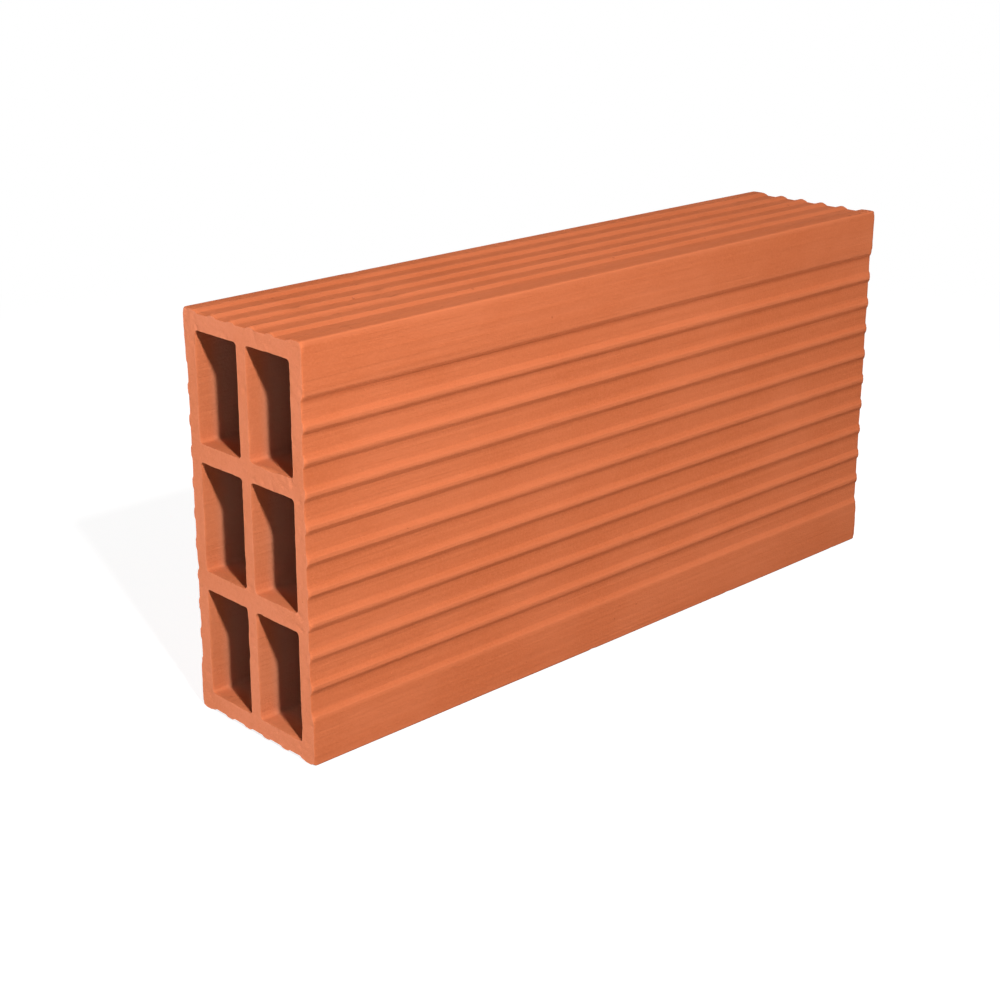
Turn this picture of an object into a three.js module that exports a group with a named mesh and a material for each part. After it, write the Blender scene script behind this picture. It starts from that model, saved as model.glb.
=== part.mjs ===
// A hollow clay brick, extruded through a die and wire-cut to length.
// Millimetres. X runs along the cells, Y through the wall, Z up. The brick stands on one of its
// narrow long faces, and the origin is the middle of that face's outer plane.
import * as THREE from 'three';

// Overall size
const LENGTH = 330;
const THICKNESS = 70;
const HEIGHT = 160;
const EDGE_ROUND = 1; // the four long outer edges

// Cells: rectangular tubes from one cut end to the other
const CELL_COLUMNS = 2;
const CELL_ROWS = 3;
const SIDE_WALL = 7.5; // between a cell and the plane of a side face
const BED_WALL = 8; // between a cell and the plane of a bed face
const UPRIGHT_WEB = 6; // between the columns
const LEVEL_WEB = 8; // between the rows
const CELL_ROUND = 1.2;

// Key channels: wide shallow grooves that hold plaster and mortar, with narrow ridges between
const CHANNEL_DEPTH = 1.1;
const RIDGE_CREST = 1.4; // width of a ridge at the plane of its face
const FLANK_RUN = 2; // width that each sloped side of a channel takes
const CHANNEL_ROUND = 0.8; // at a channel's lips and along its floor
const SIDE_MARGIN = 19.5; // plain border of a side face, above and below its channels
const SIDE_CHANNELS = 10;
const BED_MARGIN = 7; // plain border of a bed face, on each side of its channels
const BED_CHANNELS = 5;

const ARC_STEPS = 2; // half the straight steps that stand for one rounded corner

// Adds the closed outline with these corners to a path, each corner rounded by its own radius.
function traceRounded(path, corners) {
  corners.forEach((corner, i) => {
    const toLast = corners.at(i - 1).at.clone().sub(corner.at).normalize();
    const toNext = corners.at((i + 1) % corners.length).at.clone().sub(corner.at).normalize();
    const halfAngle = toLast.angleTo(toNext) / 2;
    const setback = corner.radius / Math.tan(halfAngle);
    const start = corner.at.clone().addScaledVector(toLast, setback);
    const end = corner.at.clone().addScaledVector(toNext, setback);
    const inwards = toLast.clone().add(toNext).normalize();
    const centre = corner.at.clone().addScaledVector(inwards, corner.radius / Math.sin(halfAngle));
    const clockwise = toLast.cross(toNext) > 0;
    path.absarc(
      centre.x, centre.y, corner.radius,
      start.sub(centre).angle(), end.sub(centre).angle(), clockwise,
    );
  });
  path.closePath();
  return path;
}

// The corners of the channels along one side of the section. The side starts at `from` and runs
// `span` along the unit vector `along`, with the clay on its left.
function channelCorners(from, along, span, margin, count) {
  const intoClay = new THREE.Vector2(-along.y, along.x);
  const mouth = (span - 2 * margin - (count - 1) * RIDGE_CREST) / count;
  const corners = [];
  for (let i = 0; i < count; i += 1) {
    const near = margin + i * (mouth + RIDGE_CREST);
    const far = near + mouth;
    const profile = [
      [near, 0],
      [near + FLANK_RUN, CHANNEL_DEPTH],
      [far - FLANK_RUN, CHANNEL_DEPTH],
      [far, 0],
    ];
    for (const [distance, depth] of profile) {
      const at = from.clone().addScaledVector(along, distance).addScaledVector(intoClay, depth);
      corners.push({ at, radius: CHANNEL_ROUND });
    }
  }
  return corners;
}

// The outer outline of the section, anticlockwise from the front bottom edge, with Y across the
// section and Z up it.
function outerOutline() {
  const front = -THICKNESS / 2;
  const sides = [
    { from: [front, 0], along: [1, 0], span: THICKNESS, margin: BED_MARGIN, count: BED_CHANNELS },
    { from: [-front, 0], along: [0, 1], span: HEIGHT, margin: SIDE_MARGIN, count: SIDE_CHANNELS },
    { from: [-front, HEIGHT], along: [-1, 0], span: THICKNESS, margin: BED_MARGIN, count: BED_CHANNELS },
    { from: [front, HEIGHT], along: [0, -1], span: HEIGHT, margin: SIDE_MARGIN, count: SIDE_CHANNELS },
  ];
  const corners = sides.flatMap(({ from, along, span, margin, count }) => {
    const start = new THREE.Vector2(...from);
    return [
      { at: start, radius: EDGE_ROUND },
      ...channelCorners(start, new THREE.Vector2(...along), span, margin, count),
    ];
  });
  return traceRounded(new THREE.Shape(), corners);
}

// One rounded rectangle of the section for each cell.
function cellOutlines() {
  const width = (THICKNESS - 2 * SIDE_WALL - (CELL_COLUMNS - 1) * UPRIGHT_WEB) / CELL_COLUMNS;
  const height = (HEIGHT - 2 * BED_WALL - (CELL_ROWS - 1) * LEVEL_WEB) / CELL_ROWS;
  const outlines = [];
  for (let column = 0; column < CELL_COLUMNS; column += 1) {
    for (let row = 0; row < CELL_ROWS; row += 1) {
      const left = -THICKNESS / 2 + SIDE_WALL + column * (width + UPRIGHT_WEB);
      const bottom = BED_WALL + row * (height + LEVEL_WEB);
      const corners = [
        [left, bottom],
        [left, bottom + height],
        [left + width, bottom + height],
        [left + width, bottom],
      ].map(([y, z]) => ({ at: new THREE.Vector2(y, z), radius: CELL_ROUND }));
      outlines.push(traceRounded(new THREE.Path(), corners));
    }
  }
  return outlines;
}

function brickBody() {
  const section = outerOutline();
  section.holes.push(...cellOutlines());
  const geometry = new THREE.ExtrudeGeometry(section, {
    depth: LENGTH,
    steps: 1,
    curveSegments: ARC_STEPS,
    bevelEnabled: false,
  });
  const firedClay = new THREE.MeshStandardMaterial({
    name: 'fired_clay',
    color: 0xd2734a,
    roughness: 0.9,
    metalness: 0,
  });
  const body = new THREE.Mesh(geometry, firedClay);
  body.name = 'hollow_brick';
  body.rotation.set(Math.PI / 2, Math.PI / 2, 0); // the section's normal turns to +X
  body.position.x = -LENGTH / 2;
  return body;
}

const brick = new THREE.Group();
brick.add(brickBody());

export default brick;
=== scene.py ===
"""A hollow clay brick, standing on a pale studio floor. Metres, Z up, X along the cells."""

import math

import bmesh
import bpy
import numpy as np
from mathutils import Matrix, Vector, noise
from mathutils.geometry import delaunay_2d_cdt


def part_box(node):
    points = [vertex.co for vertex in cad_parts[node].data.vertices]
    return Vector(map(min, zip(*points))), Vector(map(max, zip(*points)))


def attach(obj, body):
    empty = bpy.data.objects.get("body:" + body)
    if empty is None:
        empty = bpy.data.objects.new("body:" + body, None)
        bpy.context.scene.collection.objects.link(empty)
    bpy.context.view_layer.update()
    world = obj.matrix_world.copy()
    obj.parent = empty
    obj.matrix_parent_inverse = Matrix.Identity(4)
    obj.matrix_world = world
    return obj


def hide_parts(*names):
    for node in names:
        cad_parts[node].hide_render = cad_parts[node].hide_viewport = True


MM = 0.001

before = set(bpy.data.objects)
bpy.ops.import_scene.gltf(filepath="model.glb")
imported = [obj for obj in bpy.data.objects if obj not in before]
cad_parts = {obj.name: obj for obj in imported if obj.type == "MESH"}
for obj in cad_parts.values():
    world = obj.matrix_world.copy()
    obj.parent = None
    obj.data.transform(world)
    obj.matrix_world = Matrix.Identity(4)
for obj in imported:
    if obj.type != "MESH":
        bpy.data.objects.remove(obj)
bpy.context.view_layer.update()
LOW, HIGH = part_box("hollow_brick")

# Reading the frame's mesh
SAME_PLACE = 0.001 * MM  # points nearer together than this are one point
AT_END = 0.01 * MM  # a point this near to a cut end's plane is on it
FACES_X = 0.5  # a face whose normal has more X than this is part of a cut end

# Mesh fineness
CROWDED = 0.22 * MM  # points nearer together than this are thinned out
SKIN_STEP = 1.8 * MM  # longest step round the outside of the section
CELL_STEP = 1.5 * MM  # longest step round a cell
CUT_STEP = 0.95 * MM  # between points on a cut end
CUT_STRAY = 0.45 * CUT_STEP  # how far those points stray from an even grid
CUT_CLEARANCE = 0.5 * MM  # between those points and the section's outline
CUT_MERGE = 1e-9  # points nearer together than this are one point of a cut end
END_RINGS = (0.0, 0.3, 0.7, 1.3, 2.2, 3.5)  # millimetres in from a cut end
SKIN_RINGS = 132  # between the two groups of end rings
CELL_RINGS = 16

# Relief of the extruded skin, all of it into the clay
STREAK_DEPTH = 0.12 * MM
WAVE_DEPTH = 0.30 * MM
CHIP_DEPTH = 0.40 * MM  # of the small chips along edges and ridges
TURN_REACH = 0.9 * MM  # how far to each side of a point its corner is measured
LIP_TURN = 0.5  # radians; a corner that turns this much or more counts in full
SHADE_DIP = 0.2  # painted shade: a hollow is darkened in full if its outward normal's Z is this far below 0
LIP_BREAK = 0.18 * MM  # how far the skin is worn back where it meets a cut end
LIP_SHARE = 0.8  # the average share of LIP_BREAK that is worn off
LIP_SWING = 0.7  # how much that share varies to each side
LIP_LIMITS = (0.2, 1.6)  # the least and the most of it
LIP_CRUMB = 0.45 * MM  # how much further back the lip is where a crumb has come away
RIDGE_RUB = 0.42 * MM  # and how much further on a ridge or an outer edge
LIP_REACH = 0.9 * MM

# Relief of the wire-cut ends, into the clay
WIRE_DEPTH = 0.12 * MM
PIT_DEPTH = 0.35 * MM
RIM_LIMIT = 0.2 * MM  # the most that a cut end's outline lies inside the end's plane

# Noise behind the relief: how many features fit in a metre along X, Y and Z, and a seed
DIE_LINES = ((7, 420, 420), 1)
WAVES = ((14, 38, 38), 2)
RAGGED_LIP = ((160, 160, 160), 3)
WIRE_DRAG = ((1, 900, 70), 4)
PITS = ((1, 520, 520), 5)
STRAY_ACROSS = ((1, 1700, 1700), 6)
STRAY_UP = ((1, 1700, 1700), 7)
CHIPS = ((120, 200, 200), 8)
CRUMBS = ((110, 110, 110), 9)
SEED_SHIFT = (7.31, 3.17, 5.59)  # where one seed's noise lies from the next one's

# The noise values at which these begin and reach their full depth
CHIP_VALUES = (0.50, 0.75)
CRUMB_VALUES = (0.35, 0.65)
PIT_VALUES = (0.35, 0.75)


# ---------------------------------------------------------------- section, from the frame

def section_loops(node):
    """The closed outlines of a node's section at its -X end, the skin's first. Each is an array of
    (y, z), with the clay on its left."""
    mesh = bmesh.new()
    mesh.from_mesh(node.data)
    bmesh.ops.remove_doubles(mesh, verts=mesh.verts, dist=SAME_PLACE)
    after = {}
    for face in mesh.faces:
        if abs(face.normal.x) > FACES_X:
            continue
        for loop in face.loops:
            a, b = loop.vert, loop.link_loop_next.vert
            if max(a.co.x, b.co.x) < LOW.x + AT_END:
                after[a] = b
    loops = []
    while after:
        start = min(after, key=lambda v: (v.co.y, v.co.z))
        outline, vert = [], start
        while vert in after:
            outline.append((vert.co.y, vert.co.z))
            vert = after.pop(vert)
        loops.append(np.array(outline))
    mesh.free()
    return sorted(loops, key=len, reverse=True)  # the skin has the most points


def refined(outline, step):
    """The outline with points that crowd together thinned out, and its long straight stretches
    split into steps no longer than this."""
    kept = [outline[0]]
    for point in outline[1:]:
        if np.linalg.norm(point - kept[-1]) > CROWDED:
            kept.append(point)
    outline, points = np.array(kept), []
    for a, b in zip(outline, np.roll(outline, -1, axis=0)):
        parts = max(1, math.ceil(np.linalg.norm(b - a) / step))
        points.extend(a + (b - a) * k / parts for k in range(parts))
    return np.array(points)


def arc_places(outline):
    """How far along an outline each of its points is, and the whole way round."""
    lengths = np.linalg.norm(np.roll(outline, -1, axis=0) - outline, axis=1)
    return np.concatenate([[0], np.cumsum(lengths)[:-1]]), lengths.sum()


def outward_normals(outline):
    """Unit vectors that point out of the clay, one for each point of an outline with clay on its
    left. Each is taken over a short stretch, so that a ridge's two corners move the same way."""
    places, whole = arc_places(outline)
    ahead, behind = (
        np.stack([np.interp(places + reach, places, side, period=whole) for side in outline.T], axis=1)
        for reach in (TURN_REACH, -TURN_REACH)
    )
    along = ahead - behind
    normals = np.stack([along[:, 1], -along[:, 0]], axis=1)
    return normals / np.linalg.norm(normals, axis=1, keepdims=True)


def corner_turns(outline):
    """For each point, how much the outline turns there: 1 at a ridge or outer edge, -1 in a
    hollow."""
    after = np.roll(outline, -1, axis=0) - outline
    headings = np.arctan2(after[:, 1], after[:, 0])
    places, whole = arc_places(outline)
    turns = []
    for place in places:
        ahead, behind = (
            headings[np.searchsorted(places, (place + reach) % whole, side="right") - 1]
            for reach in (TURN_REACH, -TURN_REACH)
        )
        turns.append((ahead - behind + math.pi) % (2 * math.pi) - math.pi)
    return np.clip(np.array(turns) / LIP_TURN, -1, 1)


def inside(points, outlines):
    """True for each point that is in the clay, by counting how many outline edges lie to its
    right."""
    crossings = np.zeros(len(points), int)
    for outline in outlines:
        for (y0, z0), (y1, z1) in zip(outline, np.roll(outline, -1, axis=0)):
            if z0 == z1:
                continue
            spans = (z0 > points[:, 1]) != (z1 > points[:, 1])
            reach = y0 + (points[:, 1] - z0) * (y1 - y0) / (z1 - z0)
            crossings += spans & (points[:, 0] < reach)
    return crossings % 2 == 1


# ---------------------------------------------------------------- relief

def noise_at(points, scale, seed):
    """Smooth noise from about -1 to 1 at each point, with so many features in a metre along each
    axis."""
    offset = Vector([seed * shift for shift in SEED_SHIFT])
    stretch = np.array(scale)
    return np.array([noise.noise(Vector(p) + offset) for p in points * stretch])


def smooth_step(values, low, high):
    t = np.clip((values - low) / (high - low), 0, 1)
    return t * t * (3 - 2 * t)


def skin_relief(points, turns):
    """How far the extruded skin lies inside its plane: die lines along X, slow waves and chips."""
    streaks = 0.5 + 0.5 * noise_at(points, *DIE_LINES)
    waves = 0.5 + 0.5 * noise_at(points, *WAVES)
    chips = smooth_step(noise_at(points, *CHIPS), *CHIP_VALUES)
    return STREAK_DEPTH * streaks + WAVE_DEPTH * waves + CHIP_DEPTH * chips * np.clip(turns, 0, 1)


def end_closeness(points):
    """1 at a cut end, falling to 0 where its lip stops being rubbed back."""
    from_end = np.minimum(points[:, 0] - LOW.x, HIGH.x - points[:, 0])
    return 1 - smooth_step(from_end, 0, LIP_REACH)


def lip_wear(points, turns):
    """How far the skin is broken and rubbed back at its lip next to a cut end."""
    ragged = np.clip(LIP_SHARE + LIP_SWING * noise_at(points, *RAGGED_LIP), *LIP_LIMITS)
    crumbs = smooth_step(noise_at(points, *CRUMBS), *CRUMB_VALUES)
    rubbed = np.clip(turns, 0, 1)
    return (LIP_BREAK * ragged + LIP_CRUMB * crumbs + RIDGE_RUB * rubbed) * end_closeness(points)


def cut_relief(points):
    """How far a wire-cut end lies inside its plane: lines that the wire drew downwards, and small
    pits."""
    drag = 0.5 + 0.5 * noise_at(points, *WIRE_DRAG)
    pits = smooth_step(noise_at(points, *PITS), *PIT_VALUES)
    return WIRE_DEPTH * drag + PIT_DEPTH * pits


# ---------------------------------------------------------------- the brick

SKIN, CELL, CUT = range(3)  # material indices


def ring_places(middle_count):
    """The X of each ring of a tube, closer together towards the cut ends."""
    near = [LOW.x + place * MM for place in END_RINGS]
    far = [HIGH.x - place * MM for place in reversed(END_RINGS)]
    middle = np.linspace(near[-1], far[0], middle_count + 2)[1:-1]
    return np.array([*near, *middle, *far])


def tube(outline, rings, turns):
    """The points of an extruded surface, ring by ring, and a value for each of them: 1 where it is
    rubbed paler, and -1 in a hollow that faces downwards, which gets painted shade."""
    normals = np.tile(outward_normals(outline), (len(rings), 1))
    all_turns = np.tile(turns, len(rings))
    points = np.concatenate([np.insert(outline, 0, x, axis=1) for x in rings])
    closeness = end_closeness(points)
    # painted shade: hollows whose outward normal points downwards get -1, to be darkened
    shade_share = np.clip(-normals[:, 1] / SHADE_DIP, 0, 1)
    wear_and_shade = np.maximum(all_turns, closeness) + np.minimum(all_turns, 0) * shade_share * (1 - closeness)
    points[:, 1:] -= normals * (skin_relief(points, all_turns) + lip_wear(points, all_turns))[:, None]
    return points, wear_and_shade


def tube_faces(first, count, ring_count):
    """The four-sided faces of a tube whose points start at this number."""
    faces = []
    for ring in range(ring_count - 1):
        here, there = first + ring * count, first + (ring + 1) * count
        for a in range(count):
            b = (a + 1) % count
            faces.append((here + a, here + b, there + b, there + a))
    return faces


def cut_triangles(outlines):
    """Triangles that fill the section with its cells left open, and the points inside it that they
    use. The outlines' own points come first in the numbering."""
    border = np.concatenate(outlines)
    ys = np.arange(LOW.y, HIGH.y, CUT_STEP)
    zs = np.arange(LOW.z, HIGH.z, CUT_STEP)
    grid = np.stack(np.meshgrid(ys, zs), axis=-1).reshape(-1, 2)
    flat = np.insert(grid, 0, 0, axis=1)
    stray = [noise_at(flat, *source) for source in (STRAY_ACROSS, STRAY_UP)]
    grid = grid + CUT_STRAY * np.stack(stray, axis=1)
    grid = grid[inside(grid, outlines)]
    gap = np.array([np.hypot(*(border - point).T).min() for point in grid])
    grid = grid[gap > CUT_CLEARANCE]
    edges, first = [], 0
    for outline in outlines:
        count = len(outline)
        edges += [(first + k, first + (k + 1) % count) for k in range(count)]
        first += count
    points = np.concatenate([border, grid])
    corners = [Vector(p) for p in points]
    whole_hull = 0
    _, _, faces, origins, _, _ = delaunay_2d_cdt(corners, edges, [], whole_hull, CUT_MERGE)
    triangles = np.array([[origins[v][0] for v in face] for face in faces])
    return triangles[inside(points[triangles].mean(axis=1), outlines)].tolist(), grid


def built_mesh(points, faces, kinds, wear_and_shade_values, rims):
    """A smooth mesh that carries each point's rubbing and painted shade, with a sharp edge round the
    rims of its cut ends."""
    mesh = bpy.data.meshes.new("brick_body")
    mesh.from_pydata(points.tolist(), [], faces)
    mesh.polygons.foreach_set("material_index", kinds)
    mesh.polygons.foreach_set("use_smooth", [True] * len(faces))
    on_rim = np.zeros(len(points), bool)
    on_rim[rims] = True
    ends = np.array([edge.vertices[:] for edge in mesh.edges])
    mesh.edges.foreach_set("use_edge_sharp", on_rim[ends].all(axis=1))
    # this attribute carries rubbed edges and painted shade in hollows
    wear_and_shade_layer = mesh.attributes.new("wear_and_shade", "FLOAT", "POINT")
    wear_and_shade_layer.data.foreach_set("value", wear_and_shade_values)
    mesh.validate()
    return mesh


def brick_mesh():
    loops = section_loops(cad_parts["hollow_brick"])
    steps = [SKIN_STEP] + [CELL_STEP] * (len(loops) - 1)
    outlines = [refined(loop, step) for loop, step in zip(loops, steps)]

    # the extruded surfaces: the skin, then each cell
    blocks, wear_and_shade_values, faces, kinds, near_rim, far_rim = [], [], [], [], [], []
    first = 0
    for k, outline in enumerate(outlines):
        kind, middle_count = (SKIN, SKIN_RINGS) if k == 0 else (CELL, CELL_RINGS)
        rings = ring_places(middle_count)
        points, wear_and_shade = tube(outline, rings, corner_turns(outline))
        new_faces = tube_faces(first, len(outline), len(rings))
        faces += new_faces
        kinds += [kind] * len(new_faces)
        near_rim += range(first, first + len(outline))
        first += len(points)
        far_rim += range(first - len(outline), first)
        blocks.append(points)
        wear_and_shade_values.append(wear_and_shade)

    # the two cut ends, each on the worn rims of those surfaces
    extruded = np.concatenate(blocks)
    corners = np.cumsum([len(outline) for outline in outlines])[:-1]
    for x, rim, into in ((LOW.x, near_rim, 1), (HIGH.x, far_rim, -1)):
        triangles, grid = cut_triangles(np.split(extruded[rim, 1:], corners))
        inner = np.insert(grid, 0, x, axis=1)
        inner[:, 0] += into * cut_relief(inner)
        extruded[rim, 0] += into * np.minimum(cut_relief(extruded[rim]), RIM_LIMIT)
        number = [*rim, *range(first, first + len(inner))]
        for triangle in triangles:
            face = [number[v] for v in triangle]
            faces.append(face if into < 0 else face[::-1])
            kinds.append(CUT)
        first += len(inner)
        blocks.append(inner)
        wear_and_shade_values.append(np.zeros(len(inner)))
    points = np.concatenate([extruded, *blocks[len(outlines):]])
    return built_mesh(points, faces, kinds, np.concatenate(wear_and_shade_values), near_rim + far_rim)


# ---------------------------------------------------------------- materials

# Base colours of the clay: the paler one, the deeper one and that of the specks
SKIN_COLOURS = ((0.70, 0.193, 0.079), (0.61, 0.151, 0.054), (0.50, 0.117, 0.042))
CELL_COLOURS = ((0.66, 0.200, 0.088), (0.58, 0.160, 0.064), (0.50, 0.130, 0.050))
CUT_COLOURS = ((0.80, 0.26, 0.135), (0.71, 0.21, 0.094), (0.56, 0.15, 0.064))

# Noise in those colours: how many features fit in a metre along X, Y and Z, detail and roughness
PATCHES = ((16, 24, 24), 4.0, 0.6)
MOTTLE = ((260, 420, 420), 3.0, 0.6)
STREAKS = ((9, 640, 640), 3.0, 0.6)
GRAIN = ((1000, 1000, 1000), 3.0, 0.7)

# The noise values at which each begins to show and shows in full
PATCH_VALUES = (0.3, 0.7)
MOTTLE_VALUES = (0.3, 0.7)
STREAK_VALUES = (0.25, 0.75)
GRAIN_VALUES = (0.35, 0.75)

# How far each moves the colour where it shows in full
MOTTLE_TINT = 0.22
STREAK_TINT = 0.5
GRAIN_TINT = 0.5
GROG_TINT = 0.5
SPECK_TINT = 0.7
EDGE_TINT = 0.5
HOLLOW_SHADE = 0.12  # painted shade in hollows that face downwards
HIGH_HOLLOW_SHADE = 0.5  # stronger painted shade in the skin's hollows under its upper margins
GROG_LIFT = 1.12  # how much brighter a grain of grog is than the paler clay

# The values at which an edge begins to be paler, or a hollow that faces downwards gets painted shade,
# and is so in full
EDGE_WEAR = (0.1, 1.0)
HOLLOW_SHADE_VALUES = (-0.1, -1.0)

# The heights at which the painted shade in a hollow begins to change to the stronger one under the
# upper margins, and has done so in full
HIGH_SHADE_HEIGHTS = (115 * MM, 141 * MM)

# Dots: how many cells of their grid fit in a metre, the share of cells left empty, and the largest
# radius in cells
SPECKS = (230, 0.45, 0.16)
GROG = (310, 0.3, 0.16)
SPECK_PIT = 0.12 * MM
DOT_WOBBLE = 0.22  # how far a dot's outline strays, in cells
DOT_WOBBLES = 4.0  # how many such strays fit in a cell
DOT_SOFTNESS = 0.04  # width of a dot's soft edge, in cells

ROUGHNESS = (0.82, 0.97)
ROUGHNESS_VALUES = (0.2, 0.8)  # the values of the grain's noise that give those two
GLOSS = 0.05  # fired clay hardly mirrors at all

CELL_SHADE_TINT = (0.52, 0.232, 0.145)  # painted shade tint: the duller colour of the cells' walls deeper in, where shade falls
CELL_SHADE_START = 4 * MM  # how far in from a cut end that painted tint begins
CELL_SHADE_FULL = 13 * MM  # and from where on it lies all over

MIX_A, MIX_B, MIX_RESULT = 6, 7, 2  # a Mix node's colour sockets, which share their names with others


class Nodes:
    """A material's node tree, with short calls for the few kinds of node used here."""

    def __init__(self, name):
        self.material = bpy.data.materials.new(name)
        self.material.use_nodes = True
        self.tree = self.material.node_tree
        self.shader = self.tree.nodes["Principled BSDF"]
        self.place = self.tree.nodes.new("ShaderNodeTexCoord").outputs["Object"]
        # the mesh's rubbing on edges and painted shade in hollows
        attribute = self.tree.nodes.new("ShaderNodeAttribute")
        attribute.attribute_name = "wear_and_shade"
        self.wear_and_shade = attribute.outputs["Fac"]

    def link(self, source, target):
        self.tree.links.new(source, target)

    def along(self, axis):
        """Where a place is along X, Y or Z."""
        split = self.tree.nodes.new("ShaderNodeSeparateXYZ")
        self.link(self.place, split.inputs["Vector"])
        return split.outputs[axis]

    def off_middle(self):
        """How far along X a place is from the brick's middle, to either side."""
        size = self.tree.nodes.new("ShaderNodeMath")
        size.operation = "ABSOLUTE"
        self.link(self.along("X"), size.inputs[0])
        return size.outputs[0]

    def noise(self, scale, detail, roughness):
        """Noise with so many features in a metre along each axis."""
        mapping = self.tree.nodes.new("ShaderNodeMapping")
        mapping.inputs["Scale"].default_value = scale
        self.link(self.place, mapping.inputs["Vector"])
        texture = self.tree.nodes.new("ShaderNodeTexNoise")
        texture.inputs["Scale"].default_value = 1.0
        texture.inputs["Detail"].default_value = detail
        texture.inputs["Roughness"].default_value = roughness
        self.link(mapping.outputs["Vector"], texture.inputs["Vector"])
        return texture.outputs["Fac"]

    def dots(self, scale, empty, radius):
        """Small round dots, one in each of some cells of a grid."""
        mapping = self.tree.nodes.new("ShaderNodeMapping")
        mapping.inputs["Scale"].default_value = (scale, scale, scale)
        self.link(self.place, mapping.inputs["Vector"])
        wobble = self.tree.nodes.new("ShaderNodeTexNoise")
        wobble.inputs["Scale"].default_value = DOT_WOBBLES
        self.link(mapping.outputs["Vector"], wobble.inputs["Vector"])
        place = self.tree.nodes.new("ShaderNodeVectorMath")
        place.operation = "MULTIPLY_ADD"
        self.link(wobble.outputs["Color"], place.inputs[0])
        place.inputs[1].default_value = (DOT_WOBBLE, DOT_WOBBLE, DOT_WOBBLE)
        self.link(mapping.outputs["Vector"], place.inputs[2])
        texture = self.tree.nodes.new("ShaderNodeTexVoronoi")
        texture.inputs["Scale"].default_value = 1.0
        self.link(place.outputs["Vector"], texture.inputs["Vector"])
        size = self.ramp(texture.outputs["Color"], empty, 1.0, 0.0, radius)
        within_dot = self.tree.nodes.new("ShaderNodeMath")
        within_dot.operation = "SUBTRACT"
        self.link(size, within_dot.inputs[0])
        self.link(texture.outputs["Distance"], within_dot.inputs[1])
        return self.ramp(within_dot.outputs[0], 0.0, DOT_SOFTNESS)

    def ramp(self, source, low, high, low_value=0.0, high_value=1.0):
        """A smooth change from one value to another as the source goes from low to high. The
        second value can be a socket."""
        node = self.tree.nodes.new("ShaderNodeMapRange")
        node.interpolation_type = "SMOOTHSTEP"
        node.inputs["From Min"].default_value = low
        node.inputs["From Max"].default_value = high
        node.inputs["To Min"].default_value = low_value
        if isinstance(high_value, float):
            node.inputs["To Max"].default_value = high_value
        else:
            self.link(high_value, node.inputs["To Max"])
        self.link(source, node.inputs["Value"])
        return node.outputs["Result"]

    def mix(self, factor, a, b):
        node = self.tree.nodes.new("ShaderNodeMix")
        node.data_type = "RGBA"
        self.link(factor, node.inputs["Factor"])
        for socket, value in ((node.inputs[MIX_A], a), (node.inputs[MIX_B], b)):
            if isinstance(value, tuple):
                socket.default_value = (*value, 1)
            else:
                self.link(value, socket)
        return node.outputs[MIX_RESULT]

    def bump(self, height, distance, below=None):
        node = self.tree.nodes.new("ShaderNodeBump")
        node.inputs["Distance"].default_value = distance
        self.link(height, node.inputs["Height"])
        if below is not None:
            self.link(below, node.inputs["Normal"])
        return node.outputs["Normal"]


def fired_clay(name, colours, grain_depth, streak_depth, high_shade=HOLLOW_SHADE, cell_shade=0.0):
    """Fired clay: patches of a paler and a deeper orange, streaks along the extrusion, sandy grain,
    dark specks and paler grains, with edges rubbed paler and painted shade darkening the hollows that
    face downwards. The last two arguments set how much darker that painted shade is in the upper
    hollows, and how far the colour moves to a duller painted shade tint away from the cut ends."""
    pale, deep, speck = colours
    bright = tuple(GROG_LIFT * part for part in pale)
    nodes = Nodes(name)
    patches = nodes.ramp(nodes.noise(*PATCHES), *PATCH_VALUES)
    mottle = nodes.noise(*MOTTLE)
    streaks = nodes.noise(*STREAKS)
    grain = nodes.noise(*GRAIN)
    specks = nodes.dots(*SPECKS)
    grog = nodes.dots(*GROG)
    colour = nodes.mix(patches, deep, pale)
    colour = nodes.mix(nodes.ramp(mottle, *MOTTLE_VALUES, 0.0, MOTTLE_TINT), colour, deep)
    colour = nodes.mix(nodes.ramp(streaks, *STREAK_VALUES, 0.0, STREAK_TINT), colour, deep)
    colour = nodes.mix(nodes.ramp(grain, *GRAIN_VALUES, 0.0, GRAIN_TINT), colour, pale)
    colour = nodes.mix(nodes.ramp(nodes.wear_and_shade, *EDGE_WEAR, 0.0, EDGE_TINT), colour, pale)
    # painted shade: hollows that face downwards are darkened towards the speck colour, the more under
    # the upper margins
    hollow_shade = nodes.ramp(nodes.along("Z"), *HIGH_SHADE_HEIGHTS, HOLLOW_SHADE, high_shade)
    colour = nodes.mix(nodes.ramp(nodes.wear_and_shade, *HOLLOW_SHADE_VALUES, 0.0, hollow_shade), colour, speck)
    colour = nodes.mix(nodes.ramp(grog, 0.0, 1.0, 0.0, GROG_TINT), colour, bright)
    colour = nodes.mix(nodes.ramp(specks, 0.0, 1.0, 0.0, SPECK_TINT), colour, speck)
    # painted shade tint: the cells' walls turn duller from a little way in from the cut ends
    if cell_shade:
        cell_shade_share = nodes.ramp(nodes.off_middle(), HIGH.x - CELL_SHADE_FULL, HIGH.x - CELL_SHADE_START, cell_shade, 0.0)
        colour = nodes.mix(cell_shade_share, colour, CELL_SHADE_TINT)
    nodes.link(colour, nodes.shader.inputs["Base Color"])
    nodes.link(nodes.ramp(grain, *ROUGHNESS_VALUES, *ROUGHNESS), nodes.shader.inputs["Roughness"])
    nodes.shader.inputs["Specular IOR Level"].default_value = GLOSS
    normal = nodes.bump(streaks, streak_depth)
    normal = nodes.bump(mottle, grain_depth, below=normal)
    normal = nodes.bump(grain, grain_depth, below=normal)
    nodes.link(nodes.bump(specks, -SPECK_PIT, below=normal), nodes.shader.inputs["Normal"])
    return nodes.material


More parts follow.
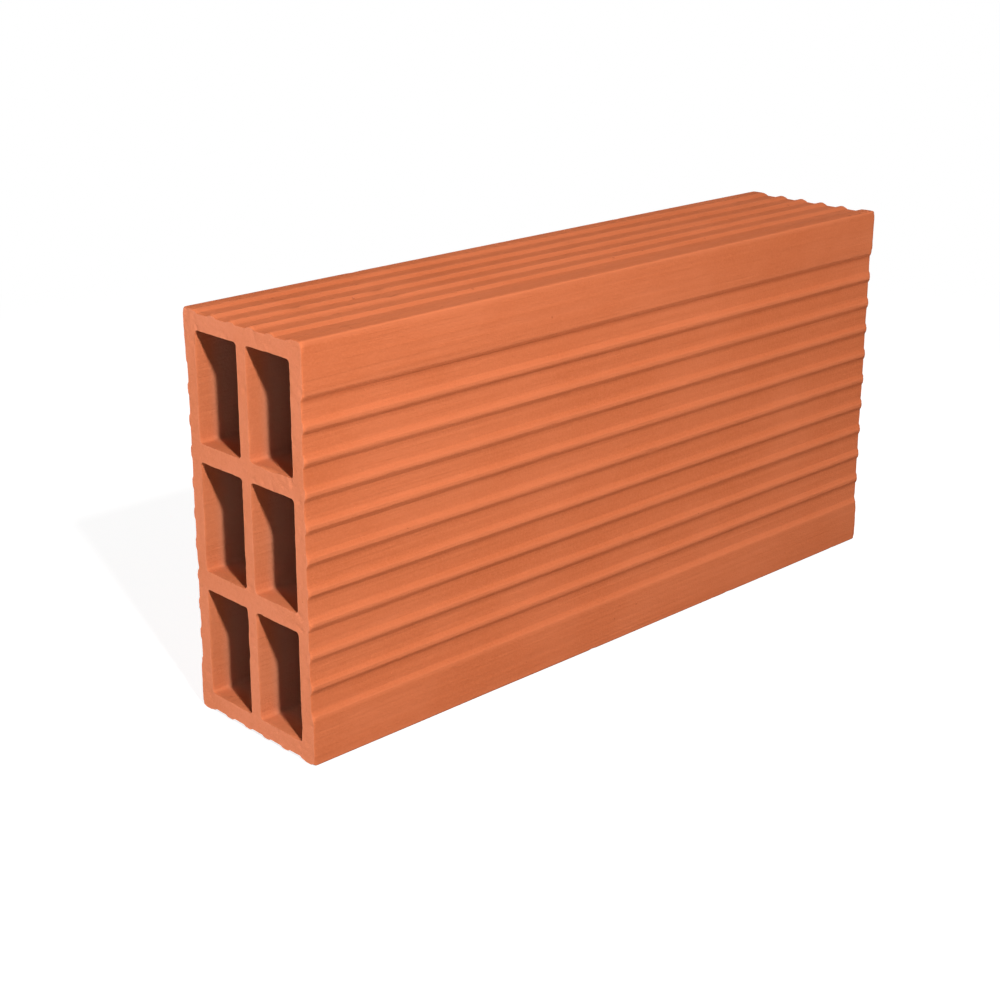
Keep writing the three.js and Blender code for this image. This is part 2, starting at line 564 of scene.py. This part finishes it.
def brick_materials():
    """The materials in the order of their indices."""
    return [
        fired_clay("clay_skin", SKIN_COLOURS, grain_depth=0.16 * MM, streak_depth=0.26 * MM,
                   high_shade=HIGH_HOLLOW_SHADE),
        fired_clay("clay_cell", CELL_COLOURS, grain_depth=0.16 * MM, streak_depth=0.30 * MM, cell_shade=0.9),
        fired_clay("clay_cut", CUT_COLOURS, grain_depth=0.24 * MM, streak_depth=0.05 * MM),
    ]


def make_brick():
    mesh = brick_mesh()
    for material in brick_materials():
        mesh.materials.append(material)
    brick = bpy.data.objects.new("brick_body", mesh)
    bpy.context.scene.collection.objects.link(brick)
    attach(brick, "root")
    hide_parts("hollow_brick")


# ---------------------------------------------------------------- studio

WHITE = (1, 1, 1, 1)

FLOOR_SIZE = 12.0
FLOOR_DROP = 0.1 * MM  # keeps the floor's plane off the brick's
FLOOR_GLOW = 0.86  # what a camera ray sees of the floor in full shade
FLOOR_SHADE = 0.34  # how much of the floor's white depends on the light there
FLOOR_BOUNCE = (0.26, 0.26, 0.26)  # the floor's colour to all light but the camera's
SHADE_REACH = (0.25, 0.7)  # the shading fades out between these distances from the brick's middle

WORLD_LIGHT = (0.95, 0.97, 1.0)
WORLD_STRENGTH = 0.035

# Round lamps that face the brick's middle: name, place, width and power in watts
LAMPS = (
    ("key", (-0.435, -0.833, 0.79), 0.07, 14.05),
    ("end_light", (-1.3, 0.02, 0.10), 0.35, 8.3),
    ("front_fill", (-0.60, -0.58, 0.33), 0.3, 0.35),
    ("back_fill", (0.70, 0.75, 1.10), 0.6, 3.3),
    ("right_light", (1.3, 0.15, 0.09), 0.3, 7.0),
    ("back_low", (0.3, 1.25, 0.09), 0.12, 6.5),
)

CAMERA_AT = (-0.5245, -0.5035, 0.3182)
CAMERA_TURN = (72.292, 0.205, -43.149)  # degrees about X, Y and Z
LENS = 65.19
SENSOR_WIDTH = 36
SHIFT = (0.0276, -0.0754)


def camera_or_mirror_ray(tree):
    """1 for a ray from the camera, or one that reached here off gloss or through glass."""
    path = tree.nodes.new("ShaderNodeLightPath")
    total = path.outputs["Is Camera Ray"]
    for name in ("Is Glossy Ray", "Is Transmission Ray"):
        larger = tree.nodes.new("ShaderNodeMath")
        larger.operation = "MAXIMUM"
        tree.links.new(total, larger.inputs[0])
        tree.links.new(path.outputs[name], larger.inputs[1])
        total = larger.outputs[0]
    return total


def floor_material():
    """White to the camera, with the brick's soft shade, and a plain grey to all other light."""
    nodes = Nodes("floor_white")
    tree = nodes.tree
    length = tree.nodes.new("ShaderNodeVectorMath")
    length.operation = "LENGTH"
    nodes.link(nodes.place, length.inputs[0])
    far = nodes.ramp(length.outputs["Value"], *SHADE_REACH)
    shaded = tree.nodes.new("ShaderNodeBsdfDiffuse")
    shaded.inputs["Color"].default_value = (FLOOR_SHADE, FLOOR_SHADE, FLOOR_SHADE, 1)
    glow = tree.nodes.new("ShaderNodeEmission")
    glow.inputs["Color"].default_value = WHITE
    glow.inputs["Strength"].default_value = FLOOR_GLOW
    near = tree.nodes.new("ShaderNodeAddShader")
    nodes.link(shaded.outputs[0], near.inputs[0])
    nodes.link(glow.outputs[0], near.inputs[1])
    white = tree.nodes.new("ShaderNodeEmission")
    white.inputs["Color"].default_value = WHITE
    seen = tree.nodes.new("ShaderNodeMixShader")
    nodes.link(far, seen.inputs[0])
    nodes.link(near.outputs[0], seen.inputs[1])
    nodes.link(white.outputs[0], seen.inputs[2])
    bounce = tree.nodes.new("ShaderNodeBsdfDiffuse")
    bounce.inputs["Color"].default_value = (*FLOOR_BOUNCE, 1)
    final = tree.nodes.new("ShaderNodeMixShader")
    nodes.link(camera_or_mirror_ray(tree), final.inputs[0])
    nodes.link(bounce.outputs[0], final.inputs[1])
    nodes.link(seen.outputs[0], final.inputs[2])
    nodes.link(final.outputs[0], tree.nodes["Material Output"].inputs["Surface"])
    tree.nodes.remove(nodes.shader)
    return nodes.material


def make_floor():
    mesh = bpy.data.meshes.new("floor")
    half = FLOOR_SIZE / 2
    corners = [(-half, -half, 0), (half, -half, 0), (half, half, 0), (-half, half, 0)]
    mesh.from_pydata(corners, [], [(0, 1, 2, 3)])
    floor = bpy.data.objects.new("floor", mesh)
    floor.location.z = LOW.z - FLOOR_DROP
    bpy.context.scene.collection.objects.link(floor)
    mesh.materials.append(floor_material())


def make_world():
    """A faint, cool light from all round, and white where the camera looks past the floor."""
    world = bpy.data.worlds.new("studio")
    bpy.context.scene.world = world
    world.use_nodes = True
    tree = world.node_tree
    light = tree.nodes["Background"]
    light.inputs["Color"].default_value = (*WORLD_LIGHT, 1)
    light.inputs["Strength"].default_value = WORLD_STRENGTH
    white = tree.nodes.new("ShaderNodeBackground")
    white.inputs["Color"].default_value = WHITE
    mix = tree.nodes.new("ShaderNodeMixShader")
    tree.links.new(camera_or_mirror_ray(tree), mix.inputs[0])
    tree.links.new(light.outputs[0], mix.inputs[1])
    tree.links.new(white.outputs[0], mix.inputs[2])
    tree.links.new(mix.outputs[0], tree.nodes["World Output"].inputs["Surface"])


def make_lamp(name, place, width, power):
    lamp = bpy.data.lights.new(name, "AREA")
    lamp.shape = "DISK"
    lamp.size = width
    lamp.energy = power
    lamp_object = bpy.data.objects.new(name, lamp)
    bpy.context.scene.collection.objects.link(lamp_object)
    lamp_object.location = place
    lamp_object.rotation_mode = "QUATERNION"
    lamp_object.rotation_quaternion = (Vector(place) - (LOW + HIGH) / 2).to_track_quat("Z", "Y")


def make_camera():
    data = bpy.data.cameras.new("camera")
    data.lens = LENS
    data.sensor_width = SENSOR_WIDTH
    data.shift_x, data.shift_y = SHIFT
    camera = bpy.data.objects.new("camera", data)
    camera.location = CAMERA_AT
    camera.rotation_euler = [math.radians(turn) for turn in CAMERA_TURN]
    bpy.context.scene.collection.objects.link(camera)
    bpy.context.scene.camera = camera


bpy.context.scene.view_settings.view_transform = "Standard"
make_camera()
make_world()
for lamp in LAMPS:
    make_lamp(*lamp)
make_floor()
make_brick()
